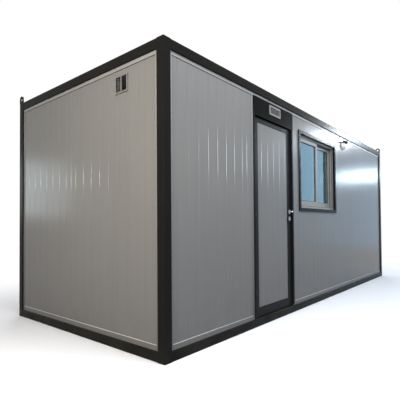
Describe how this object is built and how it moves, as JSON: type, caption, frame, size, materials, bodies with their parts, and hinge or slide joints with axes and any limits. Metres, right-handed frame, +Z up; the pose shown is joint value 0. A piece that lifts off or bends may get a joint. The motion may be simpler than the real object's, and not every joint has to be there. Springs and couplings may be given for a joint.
{
  "type": "portable site cabin",
  "caption": "Portable site cabin: a steel box frame with grooved sandwich-panel walls, a hinged door with a lever lock, a sliding window and lifting lugs.",
  "frame": {"origin": "under the middle of the cabin, on the plane its base stands on", "axes": "+X along the front wall to the right seen from outside, +Y towards the rear wall, +Z up"},
  "size_m": [6, 2.448, 2.54],
  "materials": {
    "frame_paint": "gloss anthracite paint",
    "panel_sheet": "gloss light grey prepainted sheet",
    "roof_sheet": "satin prepainted sheet",
    "track_sheet": "satin pale grey sheet",
    "deck_board": "film-faced board",
    "leaf_coating": "satin anthracite coating",
    "hinge_steel": "dark satin",
    "lock_chrome": "satin chrome",
    "sash_aluminium": "natural satin",
    "pane_glass": "clear float glass",
    "white_plastic": "gloss white",
    "lamp_coating": "satin black",
    "lens_plastic": "opal",
    "seal_rubber": "black rubber"
  },
  "bodies": {
    "cabin": {"base_rail_front": "frame_paint", "base_rail_right": "frame_paint", "base_rail_rear": "frame_paint", "base_rail_left": "frame_paint", "floor_joists": "frame_paint", "post_front_left": "frame_paint", "post_front_right": "frame_paint", "post_rear_right": "frame_paint", "post_rear_left": "frame_paint", "top_rail_front": "frame_paint", "top_rail_right": "frame_paint", "top_rail_rear": "frame_paint", "top_rail_left": "frame_paint", "door_jamb_hinge": "frame_paint", "door_jamb_latch": "frame_paint", "door_header": "frame_paint", "window_trim": "frame_paint", "lug_rear_left": "frame_paint", "lug_front_right": "frame_paint", "lug_rear_right": "frame_paint", "left_wall": "panel_sheet", "right_wall": "panel_sheet", "rear_wall": "panel_sheet", "front_wall_left": "panel_sheet", "front_wall_latch": "panel_sheet", "front_wall_sill": "panel_sheet", "front_wall_lintel": "panel_sheet", "front_wall_right": "panel_sheet", "roof_panel": "roof_sheet", "bottom_tracks": "track_sheet", "top_tracks": "track_sheet", "floor_deck": "deck_board", "hinge_pins": "hinge_steel", "window_frame": "sash_aluminium", "window_sashes": "sash_aluminium", "window_glass": "pane_glass", "wall_vent": "white_plastic", "door_lamp": "white_plastic", "wall_lamp": "lamp_coating", "lamp_lenses": "lens_plastic"},
    "door": {"door_leaf": "leaf_coating", "door_infill": "panel_sheet", "hinge_knuckles": "hinge_steel", "lock_roses": "lock_chrome"},
    "lever": {"lever_handle": "lock_chrome"}
  },
  "joints": [
    {"name": "door_swing", "type": "hinge", "parent": "cabin", "child": "door", "pos_m": [-1.7, -1.1805, 1.1], "axis": [0, 0, -1], "range_deg": [0, 90]},
    {"name": "lever_turn", "type": "hinge", "parent": "door", "child": "lever", "pos_m": [-0.935, -1.153, 1.178], "axis": [0, -1, 0], "range_deg": [0, 45], "stiffness_Nm_per_rad": 1.5, "springref_deg": -34.38}
  ]
}
